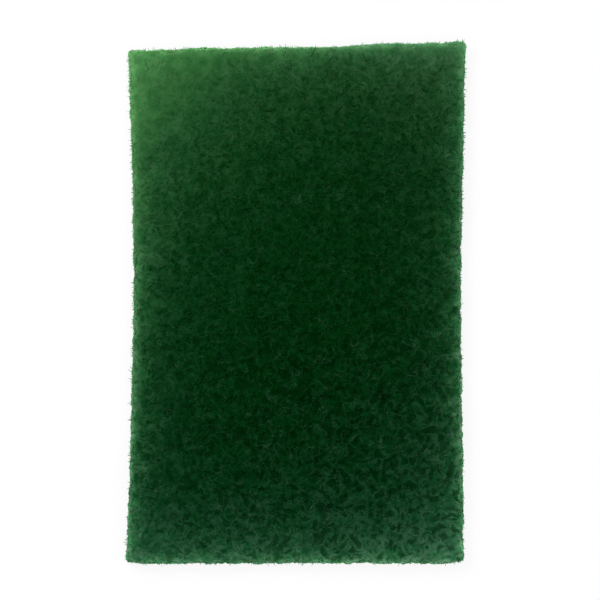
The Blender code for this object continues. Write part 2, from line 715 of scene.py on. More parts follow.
@dataclass(frozen=True)
class FibreLayer:
    """Fibres over one region of the web, made as one piece.

    Attributes:
        name: Name of the piece.
        region: Where the fibres lie.
        count: How many there are.
        seed: Seed of their random places and shapes.
        tube: The tube that they are copies of.
    """

    name: str
    region: Region
    count: int
    seed: int
    tube: FibreTube = FibreTube()

    def _piece(self, centres: Array, radii: Array, tone: Array, sheet: SheetLayout) -> Object:
        """Makes the fibres a piece over the floor, with the values that their material reads.

        Args:
            centres: Ring centres, as an array of fibres by rings by 3.
            radii: Ring radii, as an array of fibres by rings.
            tone: How pale each fibre is, from 0 to 1, painted highlights included, as an array of fibres by
                rings.
            sheet: The lie of the sheet.

        Returns:
            The piece.
        """
        centres[:, :, 2] = np.maximum(centres[:, :, 2], radii)
        values = {TONE: tone, **sheet.point_values(centres)}
        mesh = self.tube.bundle(self.name, centres, radii, values)
        return new_object(self.name, mesh)


@dataclass(frozen=True)
class FibreTangle(FibreLayer):
    """Curled fibres that lie over one region of the web and dip in and out of it.

    Attributes:
        length: Shortest and longest fibre.
        radius: Thinnest and thickest.
        taper: How much thinner a fibre's ends are, as a share.
        curl: Spread of how far a fibre turns from end to end, in radians.
        crimp: How far its heading swings to and fro, in radians.
        crimp_length: Length of one such swing.
        bead: How much thicker the resin makes a bend with a painted highlight, at least and at most.
        bend_place: First and last place of such a bend, as a share of the fibre's length.
        bend_reach: How far from its middle the bend and its painted highlight fade, as a share of that
            length.
        sink: How deep its ends dip under the web's surface.
        rise: Lowest and highest that its middle stands over it.
        arch: Power of its arch; the lower, the sooner it climbs from its ends.
        matting: How much lower it lies where the web is matted flat.
        swirl: How far the fibres' common heading swings to and fro, in radians.
        swirl_spacing: Distance from one swirl of fibres to the next.
        scatter: Spread of a fibre's heading about the common one, in radians.
        lit: Share of the fibres with a painted highlight at a bend, in the close web and in its coarse
            corner.
        tone: Mean and spread of how pale the fibres are.
        bend_tone: Least and most that a bend's painted highlight adds to that.
        longer: How much longer the fibres are in the coarse corner, as a share.
        bolder: How much stronger their rise and their bends' painted highlight are there, as a share.
    """

    length: Span = (0.0040, 0.0085)
    radius: Span = (0.00028, 0.00044)
    taper: float = 0.35
    curl: float = 1.6
    crimp: float = 0.60
    crimp_length: float = 0.0045
    bead: Span = (0.20, 0.50)
    bend_place: Span = (0.3, 0.7)
    bend_reach: float = 0.26
    sink: float = 0.00030
    rise: Span = (-0.00022, 0.00005)
    arch: float = 0.7
    matting: float = 0.00032
    swirl: float = 6.0
    swirl_spacing: float = 0.0085
    scatter: float = 0.90
    lit: Span = (0.50, 0.70)
    tone: Span = (0.38, 0.04)
    bend_tone: Span = (0.0, 0.12)
    longer: float = 0.25
    bolder: float = 0.5

    def build(self, skin: WebSkin, sheet: SheetLayout) -> Object:
        """Lays the fibres and makes them one piece.

        Args:
            skin: The web's surface.
            sheet: The lie of the sheet.

        Returns:
            The piece.
        """
        rng = np.random.default_rng(self.seed)
        starts, normals = skin.scatter(rng, self.count, self.region)
        loose = sheet.corner.share(starts)
        free = self._curled(rng, starts, normals, loose)
        places, square = skin.nearest(free)
        t = np.linspace(0.0, 1.0, self.tube.rings)
        rise = rng.uniform(*self.rise, self.count) * (1.0 + self.bolder * loose)
        rise -= self.matting * sheet.flat_share(starts)
        lift = -self.sink + (self.sink + rise)[:, None] * np.sin(math.pi * t) ** self.arch
        centres = places + square * lift[:, :, None]
        bends = self._bright_bends(rng, t, loose)
        thick = rng.uniform(*self.radius, self.count)
        taper = 1.0 - self.taper * np.abs(2.0 * t - 1.0) ** 3
        radii = thick[:, None] * taper * (1.0 + rng.uniform(*self.bead, self.count)[:, None] * bends)
        # Tone: a random pale or dark fibre, plus a painted highlight at its bright bend
        plain = rng.normal(*self.tone, self.count)
        strength = rng.uniform(*self.bend_tone, self.count) * (1.0 + self.bolder * loose)
        tone = np.clip(plain[:, None] + strength[:, None] * bends, 0.0, 1.0)
        return self._piece(centres, radii, tone, sheet)

    def _bright_bends(self, rng: np.random.Generator, t: Array, loose: Array) -> Array:
        """Picks fibres with a beaded bend that is given a painted highlight, and where along them it is.

        Args:
            rng: Source of the random draws.
            t: Where the rings lie along a fibre, from 0 to 1.
            loose: How coarse the web is at each fibre.

        Returns:
            How much of the bend each ring has, from 0 to 1, as an array of fibres by rings.
        """
        chance = self.lit[0] + (self.lit[1] - self.lit[0]) * loose
        chosen = rng.random(self.count) < chance
        place = rng.uniform(*self.bend_place, self.count)
        near = np.exp(-(((t[None, :] - place[:, None]) / self.bend_reach) ** 2))
        return np.where(chosen[:, None], near, 0.0)

    def _headings(self, rng: np.random.Generator, starts: Array, normals: Array) -> tuple[Array, Array]:
        """Finds each fibre's way ahead and sideways at its middle: swirls of fibre, with some scatter.

        Args:
            rng: Source of the random draws.
            starts: Where the fibres' middles lie.
            normals: The web's normals there.

        Returns:
            The two directions, each with one row a fibre.
        """
        across = unit(np.cross(normals, ASLANT))
        turn = self.swirl * soft_noise(starts, self.swirl_spacing, SWIRL_LAYER)
        turn += rng.normal(0.0, self.scatter, self.count)
        ahead = np.cos(turn)[:, None] * across + np.sin(turn)[:, None] * np.cross(normals, across)
        return ahead, np.cross(normals, ahead)

    def _curled(self, rng: np.random.Generator, starts: Array, normals: Array, loose: Array) -> Array:
        """Draws each fibre's curl in the plane that touches the web at its start.

        Args:
            rng: Source of the random draws.
            starts: Where the fibres' middles lie.
            normals: The web's normals there.
            loose: How coarse the web is there.

        Returns:
            Ring centres, as an array of fibres by rings by 3.
        """
        ahead, side = self._headings(rng, starts, normals)
        length = rng.uniform(*self.length, self.count) * (1.0 + self.longer * loose)
        curl = rng.normal(0.0, self.curl, self.count)
        phase = rng.uniform(0.0, math.tau, self.count)
        t = (np.arange(self.tube.rings - 1) + 0.5) / (self.tube.rings - 1) - 0.5
        swing = np.sin(math.tau * np.outer(length / self.crimp_length, t) + phase[:, None])
        heading = np.outer(curl, t) + self.crimp * swing
        step = (length / (self.tube.rings - 1))[:, None]
        run = np.cumsum(np.stack([np.cos(heading) * step, np.sin(heading) * step]), axis=2)
        run = np.concatenate([np.zeros_like(run[:, :, :1]), run], axis=2)
        run -= run.mean(axis=2, keepdims=True)
        return starts[:, None] + run[0][:, :, None] * ahead[:, None] + run[1][:, :, None] * side[:, None]


@dataclass(frozen=True)
class LooseEnds(FibreLayer):
    """Short fibre ends that stand out of the web where the cutter or wear parted them.

    Attributes:
        root: How deep they start inside the web.
        reach: Shortest and longest reach outside it.
        shortness: Power of the spread of their reach; the higher, the more of them are short.
        tuft_spacing: Distance from one tuft of longer ends to the next.
        tuft_limits: Noise values between which the ends grow longer.
        tuft_gain: What the reach is multiplied by between the tufts, and what a tuft adds.
        lean: How far they lean from square.
        sag: Most that they bend aside, as a share of their reach.
        radius: Thinnest and thickest, at the root.
        taper: How much thinner their tips are, as a share.
        tone_shape: The two shapes of the beta spread of how pale they are.
    """

    root: float = 0.0008
    reach: Span = (0.0003, 0.0015)
    shortness: float = 1.4
    tuft_spacing: float = 0.0032
    tuft_limits: Span = (-0.3, 0.35)
    tuft_gain: Span = (0.5, 0.8)
    lean: float = 0.45
    sag: float = 0.5
    radius: Span = (0.00015, 0.00026)
    taper: float = 0.55
    tone_shape: Span = (2.4, 2.0)
    tube: FibreTube = FibreTube(rings=4)

    def build(self, skin: WebSkin, sheet: SheetLayout) -> Object:
        """Plants the ends and makes them one piece.

        Args:
            skin: The web's surface.
            sheet: The lie of the sheet.

        Returns:
            The piece.
        """
        rng = np.random.default_rng(self.seed)
        starts, normals = skin.scatter(rng, self.count, self.region)
        way = unit(normals + self.lean * rng.normal(size=normals.shape))
        bend = unit(rng.normal(size=normals.shape))
        tufts = soft_step(*self.tuft_limits, soft_noise(starts, self.tuft_spacing, TUFT_LAYER))
        longer = rng.random(self.count) ** self.shortness
        reach = self.reach[0] + (self.reach[1] - self.reach[0]) * longer
        reach *= self.tuft_gain[0] + self.tuft_gain[1] * tufts
        t = np.linspace(0.0, 1.0, self.tube.rings)
        run = -self.root + np.outer(self.root + reach, t)
        sag = np.outer(reach * rng.uniform(0.0, self.sag, self.count), t ** 2)
        centres = starts[:, None] + way[:, None] * run[:, :, None] + bend[:, None] * sag[:, :, None]
        thick = rng.uniform(*self.radius, self.count)
        radii = thick[:, None] * (1.0 - self.taper * t)
        tone = np.repeat(rng.beta(*self.tone_shape, self.count)[:, None], self.tube.rings, axis=1)
        return self._piece(centres, radii, tone, sheet)


class NodeSheet:
    """A node tree that is filled in by short calls."""

    def __init__(self, tree: NodeTree) -> None:
        """Takes a tree to fill in."""
        self.tree = tree

    def feed(self, node: Node, inputs: dict[str | int, object]) -> None:
        """Sets or links a node's inputs.

        Args:
            node: The node.
            inputs: For each input, by name or number, a value or an output socket of another node.
        """
        for key, value in inputs.items():
            socket = node.inputs[key]
            if isinstance(value, NodeSocket):
                self.tree.links.new(value, socket)
            elif socket.type == "RGBA":
                socket.default_value = (*value, 1.0)
            else:
                socket.default_value = value

    def add(self, kind: str, inputs: dict[str | int, object] | None = None, **settings: object) -> Node:
        """Adds a node.

        Args:
            kind: The node's type.
            inputs: For each input, by name or number, a value or an output socket of another node.
            **settings: The node's own settings.

        Returns:
            The node.
        """
        node = self.tree.nodes.new(kind)
        for key, value in settings.items():
            setattr(node, key, value)
        self.feed(node, inputs or {})
        return node

    def math(self, operation: str, *numbers: Number, clamp: bool = False) -> NodeSocket:
        """Works out one number from up to three.

        Args:
            operation: What to do with them.
            *numbers: The numbers.
            clamp: Whether the answer stays between 0 and 1.

        Returns:
            The answer's socket.
        """
        inputs = dict(enumerate(numbers))
        return self.add("ShaderNodeMath", inputs, operation=operation, use_clamp=clamp).outputs[0]

    def product(self, first: Number, second: Number) -> NodeSocket:
        """Multiplies two numbers."""
        return self.math("MULTIPLY", first, second)

    def vector(self, operation: str, inputs: dict[int, object]) -> NodeSocket:
        """Works out one vector from others."""
        return self.add("ShaderNodeVectorMath", inputs, operation=operation).outputs[0]

    def group(self, tree: NodeTree) -> NodeOutputs:
        """Places a node group and gives its outputs."""
        return self.add("ShaderNodeGroup", node_tree=tree).outputs

    def point_value(self, name: str) -> NodeSocket:
        """Reads a number that the piece stores at its points."""
        return self.add("ShaderNodeAttribute", attribute_name=name).outputs["Fac"]

    def object_place(self) -> NodeSocket:
        """Reads the place on the object."""
        return self.add("ShaderNodeTexCoord").outputs["Object"]

    def _scale(self, spacing: Number) -> Number:
        """Turns a pattern's spacing into a texture's scale."""
        return self.math("DIVIDE", 1.0, spacing) if isinstance(spacing, NodeSocket) else 1.0 / spacing

    def noise(self, spacing: Number, detail: float, place: NodeSocket | None = None) -> NodeSocket:
        """Adds noise with bumps a given distance apart.

        Args:
            spacing: Distance between bumps.
            detail: How much finer noise is added.
            place: Where it is read, or nothing for the place on the object.

        Returns:
            The noise's socket.
        """
        inputs = {"Vector": place or self.object_place(), "Scale": self._scale(spacing), "Detail": detail}
        return self.add("ShaderNodeTexNoise", inputs).outputs["Fac"]

    def cells(self, spacing: Number, place: NodeSocket, feature: str) -> NodeSocket:
        """Adds irregular cells a given distance apart.

        Args:
            spacing: Distance between cells.
            place: Where they are read.
            feature: What the distance is measured from.

        Returns:
            The distance's socket.
        """
        inputs = {"Vector": place, "Scale": self._scale(spacing)}
        return self.add("ShaderNodeTexVoronoi", inputs, feature=feature).outputs["Distance"]

    def winding(self, place: NodeSocket, spacing: float, reach: float) -> NodeSocket:
        """Moves a place to and fro, so that a pattern read there winds.

        Args:
            place: The place.
            spacing: Distance between bends.
            reach: How far it moves.

        Returns:
            The moved place's socket.
        """
        swirl = self.noise(spacing, 1.0, place).node.outputs["Color"]
        centred = self.vector("SUBTRACT", {0: swirl, 1: (0.5, 0.5, 0.5)})
        return self.vector("ADD", {0: place, 1: self.vector("SCALE", {0: centred, 3: reach})})

    def spread(self, value: NodeSocket, limits: Span, to: Span = (0.0, 1.0)) -> NodeSocket:
        """Stretches the part of a value between two limits to a new span, and clamps it.

        Args:
            value: The value's socket.
            limits: Values that give the start and the end of the new span.
            to: The new span.

        Returns:
            The stretched value's socket.
        """
        inputs = {"Value": value, "From Min": limits[0], "From Max": limits[1]}
        inputs |= {"To Min": to[0], "To Max": to[1]}
        return self.add("ShaderNodeMapRange", inputs).outputs["Result"]

    def mix(self, share: Number, first: Paint, second: Paint, blend: str = "MIX") -> NodeSocket:
        """Mixes two colours.

        Args:
            share: How much of the second.
            first: The first colour.
            second: The second colour.
            blend: How they mix.

        Returns:
            The mixed colour's socket.
        """
        inputs = {0: share, 6: first, 7: second}
        return self.add("ShaderNodeMix", inputs, data_type="RGBA", blend_type=blend).outputs[2]

    def ramp(self, value: NodeSocket, stops: Sequence[tuple[float, Colour]]) -> NodeSocket:
        """Turns a number into a colour.

        Args:
            value: The number's socket.
            stops: Place and colour of each stop, in order.

        Returns:
            The colour's socket.
        """
        node = self.add("ShaderNodeValToRGB", {"Fac": value})
        elements = node.color_ramp.elements
        while len(elements) < len(stops):
            elements.new(1.0)
        for element, (place, colour) in zip(elements, stops):
            element.position = place
            element.color = (*colour, 1.0)
        return node.outputs["Color"]

    def bump(self, height: NodeSocket, distance: float, **under: NodeSocket) -> NodeSocket:
        """Adds a bump, over the one whose Normal is given, if any."""
        inputs = {"Height": height, "Distance": distance, **under}
        return self.add("ShaderNodeBump", inputs).outputs["Normal"]


class GroupSheet(NodeSheet):
    """A new shader node group, filled in by short calls, whose sockets all carry numbers."""

    def __init__(self, name: str, inputs: dict[str, float]) -> None:
        """Starts the group.

        Args:
            name: The group's name.
            inputs: Names and usual values of its inputs.
        """
        super().__init__(bpy.data.node_groups.new(name, "ShaderNodeTree"))
        for label, usual in inputs.items():
            self._new_socket(label, "INPUT").default_value = usual
        self.given = self.add("NodeGroupInput").outputs

    def _new_socket(self, label: str, way: str) -> NodeTreeInterfaceSocket:
        """Adds a number socket to the group's interface."""
        return self.tree.interface.new_socket(label, in_out=way, socket_type="NodeSocketFloat")

    def finished(self, answers: dict[str, NodeSocket]) -> NodeTree:
        """Ends the group with its outputs.

        Args:
            answers: Name and value of each output.

        Returns:
            The group.
        """
        for label in answers:
            self._new_socket(label, "OUTPUT")
        self.add("NodeGroupOutput", answers)
        return self.tree


def glow_group() -> NodeTree:
    """Painted glow of light: paler green painted near the cut, in place of light shining through and round
    the thin, open web there, and over the face, most of all at the upper left corner.

    Returns:
        A group that gives the painted glow's share at the rim and its thin fringe, from 0 deep inside to 1
        at the cut, its share over the face, how far a place lies towards the foot edge and the right side,
        and how strong the web's pattern is there, which is weakest where the painted glow is strong, away
        from the foot.
    """
    sheet = GroupSheet("web paling", {"Rim Reach": 0.0040, "Fringe Reach": 0.0007, "Flattened Pattern": 0.20})
    clump_spacing, clump_detail = 0.006, 3.0
    depth_gain, glow_gain = (0.6, 1.5), (1.15, 0.85)
    foot_limits, right_limits, flatten_limits = (0.09, -0.09), (-0.04, 0.05), (0.0, 0.22)

    clumps = sheet.noise(clump_spacing, clump_detail)
    depth = sheet.product(sheet.point_value(CUT_DISTANCE), sheet.spread(clumps, NOISE_LIMITS, depth_gain))
    shares = {}
    for name in ("Rim", "Fringe"):
        ratio = sheet.math("DIVIDE", depth, sheet.given[f"{name} Reach"])
        shares[name] = sheet.math("EXPONENT", sheet.product(ratio, -1.0))
    glow = sheet.point_value(GLOW)
    glow_share = sheet.product(glow, sheet.spread(clumps, NOISE_LIMITS, glow_gain))
    place = sheet.add("ShaderNodeSeparateXYZ", {0: sheet.object_place()}).outputs
    footward = sheet.spread(place["Y"], foot_limits)
    rightward = sheet.spread(place["X"], right_limits)
    # The pattern is washed out where the painted glow is strong, away from the foot edge
    flattened = sheet.product(sheet.spread(glow, flatten_limits), sheet.math("SUBTRACT", 1.0, footward))
    lost = sheet.product(flattened, sheet.math("SUBTRACT", 1.0, sheet.given["Flattened Pattern"]))
    pattern = sheet.math("SUBTRACT", 1.0, lost)
    shares |= {"Fade": glow_share, "Footward": footward, "Rightward": rightward, "Pattern": pattern}
    return sheet.finished(shares)


def curl_group() -> NodeTree:
    """Larger curls of bundled fibre: winding ridges round hollows, with small gaps between them.

    Returns:
        A group that gives masks of the ridges, the hollows and the gaps, and the curls' height. The finishes
        paint highlights on the ridges and shade in the hollows and gaps. The ridges and hollows are
        strongest where the web is coarse.
    """
    sheet = GroupSheet("web curls", {"Ridge Spacing": 0.0048, "Gap Spacing": 0.0015})
    bend_spacing, bend_reach = 0.0060, 0.006
    layer_shift = 0.31
    patch_spacing, patch_limits = 0.0050, (0.34, 0.56)
    close_strength = 0.55
    ridge_limits, hollow_limits, gap_limits = (0.01, 0.060), (0.08, 0.15), (0.63, 0.71)

    place = sheet.object_place()
    bent = sheet.winding(place, bend_spacing, bend_reach)
    off = []
    for shift in (0.0, layer_shift):
        moved = sheet.vector("ADD", {0: bent, 1: (shift, shift, shift)})
        waves = sheet.noise(sheet.given["Ridge Spacing"], 0.0, moved)
        off.append(sheet.math("ABSOLUTE", sheet.math("SUBTRACT", waves, 0.5)))
    field = sheet.math("MINIMUM", *off)
    coarse = sheet.spread(sheet.point_value(COARSE), (0.0, 1.0), (close_strength, 1.0))
    parts = sheet.product(sheet.spread(sheet.noise(patch_spacing, 0.0, place), patch_limits), coarse)
    ridges = sheet.product(sheet.spread(field, ridge_limits, (1.0, 0.0)), parts)
    hollows = sheet.product(sheet.spread(field, hollow_limits), coarse)
    gaps = sheet.spread(sheet.noise(sheet.given["Gap Spacing"], 0.0, bent), gap_limits)
    height = sheet.math("SUBTRACT", ridges, hollows)
    return sheet.finished({"Ridges": ridges, "Hollows": hollows, "Gaps": gaps, "Height": height})


def grit_group() -> NodeTree:
    """Fine abrasive grains in the resin.

    Returns:
        A group that gives the grains' height and a mask of their tips, the highest places, for a painted
        highlight.
    """
    sheet = GroupSheet("resin grit", {"Grain Size": 0.00035})
    grain_lift, tip_limits = -0.5, (0.56, 0.74)

    place = sheet.object_place()
    fine = sheet.noise(sheet.given["Grain Size"], 2.0, place)
    grains = sheet.cells(sheet.given["Grain Size"], place, "F1")
    height = sheet.math("ADD", fine, sheet.product(grains, grain_lift))
    return sheet.finished({"Height": height, "Tips": sheet.spread(fine, tip_limits)})


def tangle_group() -> NodeTree:
    """Fibres seen in the depth of the web, as crossing curled lines.

    Returns:
        A group that gives a mask of the lines.
    """
    sheet = GroupSheet("fibre tangle", {"Line Spacing": 0.0022})
    bend_spacing, bend_reach = 0.0035, 0.004
    turns, tilt = (0.0, 1.1, 2.3), 0.4
    line_limits = (0.0, 0.26)

    bent = sheet.winding(sheet.object_place(), bend_spacing, bend_reach)
    layers = []
    for turn in turns:
        mapping = {"Vector": bent, "Rotation": (turn, tilt * turn, turn)}
        turned = sheet.add("ShaderNodeMapping", mapping).outputs[0]
        edges = sheet.cells(sheet.given["Line Spacing"], turned, "DISTANCE_TO_EDGE")
        layers.append(sheet.spread(edges, line_limits, (1.0, 0.0)))
    lines = sheet.math("MAXIMUM", sheet.math("MAXIMUM", layers[0], layers[1]), layers[2])
    return sheet.finished({"Lines": lines})


class WebPatterns:
    """The effects that the pad's finishes share, each a node group."""

    def __init__(self) -> None:
        """Builds each group once."""
        self.glow_masks = glow_group()
        self.curls = curl_group()
        self.grit = grit_group()
        self.tangle = tangle_group()


@dataclass(frozen=True)
class WebGreens:
    """The greens of the resin-coated fibre, and the painted glow, highlights and shade laid over them.

    Attributes:
        pit: The darkest green, towards which painted shade darkens pits, hollows and gaps, and the painted
            shade between the web's fibre lines.
        deep: A dark fibre, and in the web the step between that painted shade and its fibre lines.
        body: A usual fibre.
        bright: A pale fibre, and the painted highlight of a bend or a ridge.
        rim_glow_left: The green of the painted glow near the cut, on the left and at the head.
        rim_glow_right: The cooler green of that painted glow on the right and at the foot.
        fringe_glow_left: The green of the painted glow at the cut itself, on the left and at the head.
        fringe_glow_right: The cooler green of that painted glow on the right and at the foot.
        glow_left: The green of the painted glow over the face towards the head edge, on the left.
        glow_right: The greyer green of that painted glow there, on the right.
        glow_foot: The cooler green of the painted glow towards the foot edge.
        faint: What those three are multiplied by where the painted glow is faint.
        strong: What they are multiplied by where it is strong.
        tint_limits: How strong the painted glow is where it counts as faint and where as strong.
        dull: What the greens are multiplied by where the tone is lowest.
        lit: What they are multiplied by where the tone is highest: pale fibres, and the painted highlights
            of bends and ridges.
        rest_tone: The tone of a place without any pattern.
        ridge_tone: How much paler the ridges of the larger curls are, a painted highlight.
        rim_calm: Share by which the ridges' painted highlight is weaker at the cut.
        pit_shade: How dark the painted shade of an open pit is.
        hollow_shade: How dark the painted shade of a hollow between curls is.
        gap_shade: How dark the painted shade of the small gaps between curls is, where the painted glow is
            faint and where it is strong.
        gap_limits: How strong the painted glow is at those two.
    """

    pit: Colour = (0.0000, 0.0085, 0.0008)
    deep: Colour = (0.0000, 0.0170, 0.0014)
    body: Colour = (0.0002, 0.0224, 0.0023)
    bright: Colour = (0.0058, 0.0350, 0.0100)
    rim_glow_left: Colour = (0.0285, 0.0810, 0.0240)
    rim_glow_right: Colour = (0.0185, 0.0790, 0.0265)
    fringe_glow_left: Colour = (0.0930, 0.1650, 0.0780)
    fringe_glow_right: Colour = (0.1040, 0.2100, 0.1150)
    glow_left: Colour = (0.0880, 0.3036, 0.0930)
    glow_right: Colour = (0.1270, 0.3036, 0.1290)
    glow_foot: Colour = (0.0850, 0.2895, 0.1450)
    faint: Colour = (0.78, 1.00, 0.96)
    strong: Colour = (1.21, 1.00, 1.06)
    tint_limits: Span = (0.05, 0.35)
    dull: Colour = (0.00, 0.83, 0.42)
    lit: Colour = (2.07, 1.31, 1.78)
    rest_tone: float = 0.42
    ridge_tone: float = 0.68
    rim_calm: float = 0.6
    pit_shade: float = 0.65
    hollow_shade: float = 0.55
    gap_shade: Span = (0.55, 0.1925)
    gap_limits: Span = (0.06, 0.20)

    def with_painted_light(
        self, sheet: NodeSheet, base: NodeSocket, tone: NodeSocket, glow_masks: NodeOutputs, curls: NodeOutputs
    ) -> NodeSocket:
        """Adds the painted glow of light to a base colour, paints highlights on the ridges, and darkens the
        open places with painted shade.

        Args:
            sheet: The material's nodes.
            base: The base colour.
            tone: How pale a place is, from 0 to 1.
            glow_masks: What the group for the painted glow gives.
            curls: What the group for the larger curls gives.

        Returns:
            The colour's socket, with its painted glow, highlights and shade.
        """
        # Painted glow of light over the face, near the cut and at the cut itself
        glow_green = sheet.mix(glow_masks["Rightward"], self.glow_left, self.glow_right)
        glow_green = sheet.mix(glow_masks["Footward"], glow_green, self.glow_foot)
        tint = sheet.mix(sheet.spread(glow_masks["Fade"], self.tint_limits), self.faint, self.strong)
        cool = sheet.math("MAXIMUM", glow_masks["Rightward"], glow_masks["Footward"])
        colour = base
        for name, added in (
            ("Fade", sheet.mix(1.0, glow_green, tint, "MULTIPLY")),
            ("Rim", sheet.mix(cool, self.rim_glow_left, self.rim_glow_right)),
            ("Fringe", sheet.mix(cool, self.fringe_glow_left, self.fringe_glow_right)),
        ):
            colour = sheet.mix(glow_masks[name], colour, added, "ADD")
        off = sheet.math("SUBTRACT", tone, self.rest_tone)
        tone = sheet.math("MULTIPLY_ADD", off, glow_masks["Pattern"], self.rest_tone)
        # Painted highlight on the ridges of the larger curls, weaker at the cut and where the painted glow
        # washes out the pattern
        ridges = sheet.product(curls["Ridges"], sheet.math("SQRT", glow_masks["Pattern"]))
        ridges = sheet.product(ridges, sheet.math("MULTIPLY_ADD", glow_masks["Rim"], -self.rim_calm, 1.0))
        tone = sheet.math("MULTIPLY_ADD", ridges, self.ridge_tone, tone)
        colour = sheet.mix(1.0, colour, sheet.mix(tone, self.dull, self.lit), "MULTIPLY")
        # Painted shade in pits, hollows and gaps, towards the pit green
        return sheet.mix(self._shade(sheet, glow_masks, curls), colour, self.pit)

    def _shade(self, sheet: NodeSheet, glow_masks: NodeOutputs, curls: NodeOutputs) -> NodeSocket:
        """How dark the painted shade is at a place that lies down in a pit, a hollow or a gap.

        Args:
            sheet: The material's nodes.
            glow_masks: What the group for the painted glow gives.
            curls: What the group for the larger curls gives.

        Returns:
            The shade's socket.
        """
        gaps = sheet.product(curls["Gaps"], sheet.spread(glow_masks["Fade"], self.gap_limits, self.gap_shade))
        hollows = sheet.product(sheet.product(curls["Hollows"], self.hollow_shade), glow_masks["Pattern"])
        pits = sheet.product(sheet.point_value(SHADE), self.pit_shade)
        shade = sheet.math("MAXIMUM", pits, sheet.math("MAXIMUM", hollows, gaps))
        return sheet.product(shade, sheet.math("SUBTRACT", 1.0, glow_masks["Fringe"], clamp=True))


@dataclass(frozen=True)
class FibreFinish:
    """Dull resin-coated fibre with fine grit, with a painted glow of light near the cut and over the upper
    left corner.

    Attributes:
        greens: Its greens.
        roughness: Smoothest and roughest.
        rough_limits: Heights of the grit at which it is so.
        specular: How strongly its skin shines.
        patch_spacing: Distance between paler patches.
        patch_tone: Least and most that a patch adds to the tone.
        ridge_lift: How much paler the ridges' base colour is, a painted highlight.
        body_place: Place of the usual green between the dark one and the pale one.
        tip_share: How much of the painted highlight on the grains' tips shows.
        tip_highlight: How much brighter the painted highlight makes the tips.
        curl_height: Height of the larger curls.
        grit_height: Height of the grit.
    """

    greens: WebGreens
    roughness: Span = (0.55, 0.85)
    rough_limits: Span = (0.0, 0.8)
    specular: float = 0.002
    patch_spacing: float = 0.0034
    patch_tone: Span = (-0.22, 0.17)
    ridge_lift: float = 0.45
    body_place: float = 0.4
    tip_share: float = 0.1
    tip_highlight: Colour = (1.6, 1.6, 1.6)
    curl_height: float = 0.00040
    grit_height: float = 0.00002

    def build(self, patterns: WebPatterns) -> Material:
        """Makes the material.

        Args:
            patterns: The effects that the finishes share.

        Returns:
            The material.
        """
        material, sheet, shader = plain_material("resin-coated fibre", {"Specular IOR Level": self.specular})
        glow_masks, curls, grit = (sheet.group(t) for t in (patterns.glow_masks, patterns.curls, patterns.grit))
        patches = sheet.spread(sheet.noise(self.patch_spacing, 1.0), NOISE_LIMITS, self.patch_tone)
        tone = sheet.math("ADD", sheet.point_value(TONE), patches, clamp=True)
        greens = self.greens
        stops = ((0.0, greens.deep), (self.body_place, greens.body), (1.0, greens.bright))
        # Painted highlight: the ridges of the larger curls get a paler base colour
        base = sheet.ramp(sheet.math("MULTIPLY_ADD", curls["Ridges"], self.ridge_lift, tone), stops)
        colour = greens.with_painted_light(sheet, base, tone, glow_masks, curls)
        # Painted highlight on the highest tips of the grit
        tips = sheet.mix(1.0, colour, self.tip_highlight, "MULTIPLY")
        bump = sheet.bump(sheet.product(curls["Height"], glow_masks["Pattern"]), self.curl_height)
        sheet.feed(shader, {
            "Base Color": sheet.mix(sheet.product(grit["Tips"], self.tip_share), colour, tips),
            "Roughness": sheet.spread(grit["Height"], self.rough_limits, self.roughness),
            "Normal": sheet.bump(grit["Height"], self.grit_height, Normal=bump),
        })
        return material


@dataclass(frozen=True)
class WebFinish:
    """The depth of the web under the loose fibres: crossing lines of fibre over gaps darkened by painted
    shade.

    Attributes:
        greens: Its greens.
        roughness: Smoothest and roughest.
        specular: How strongly its skin shines.
        patch_spacing: Distance between patches with clearer lines.
        patch_strength: How clear the lines are, at least and at most.
        deep_place: Place of the dark green between the pits' and the usual one.
        line_height: Height of the fibre lines.
    """

    greens: WebGreens
    roughness: Span = (0.7, 0.95)
    specular: float = 0.0
    patch_spacing: float = 0.0026
    patch_strength: Span = (0.3, 1.0)
    deep_place: float = 0.45
    line_height: float = 0.00020

    def build(self, patterns: WebPatterns) -> Material:
        """Makes the material.

        Args:
            patterns: The effects that the finishes share.

        Returns:
            The material.
        """
        material, sheet, shader = plain_material("matted web", {"Specular IOR Level": self.specular})
        glow_masks, curls, tangle = (sheet.group(t) for t in (patterns.glow_masks, patterns.curls, patterns.tangle))
        patches = sheet.spread(sheet.noise(self.patch_spacing, 1.0), NOISE_LIMITS, self.patch_strength)
        tone = sheet.product(tangle["Lines"], patches)
        greens = self.greens
        # Painted shade: the darkest green lies in the gaps between the fibre lines
        base = sheet.ramp(tone, ((0.0, greens.pit), (self.deep_place, greens.deep), (1.0, greens.body)))
        sheet.feed(shader, {
            "Base Color": greens.with_painted_light(sheet, base, tone, glow_masks, curls),
            "Roughness": sheet.spread(tone, (0.0, 1.0), (self.roughness[1], self.roughness[0])),
            "Normal": sheet.bump(sheet.product(tangle["Lines"], glow_masks["Pattern"]), self.line_height),
        })
        return material


def plain_material(name: str, settings: dict[str, object]) -> tuple[Material, NodeSheet, Node]:
    """Starts a material with one plain shader.

    Args:
        name: Name of the material.
        settings: Names and values of the shader's inputs that are set.

    Returns:
        The material, a sheet to fill it in, and its shader node.
    """
    material = bpy.data.materials.new(name)
    material.use_nodes = True
    sheet = NodeSheet(material.node_tree)
    shader = sheet.tree.nodes["Principled BSDF"]
    sheet.feed(shader, settings)
    return material, sheet, shader


@dataclass(frozen=True)
class SoftLamp:
    """A large square lamp that faces the pad.

    Attributes:
        name: Name of the lamp.
        place: Where it hangs.
        size: Length of its side.
        power: Its power in watts.
    """

    name: str
    place: tuple[float, float, float]
    size: float
    power: float

    def build(self) -> None:
        """Hangs the lamp, facing the origin."""
        light = bpy.data.lights.new(self.name, "AREA")
        light.size = self.size
        light.energy = self.power
        lamp = new_object(self.name, light)
        lamp.location = self.place
        lamp.rotation_euler = (-Vector(self.place)).to_track_quat("-Z", "Y").to_euler()
        lamp.visible_camera = False


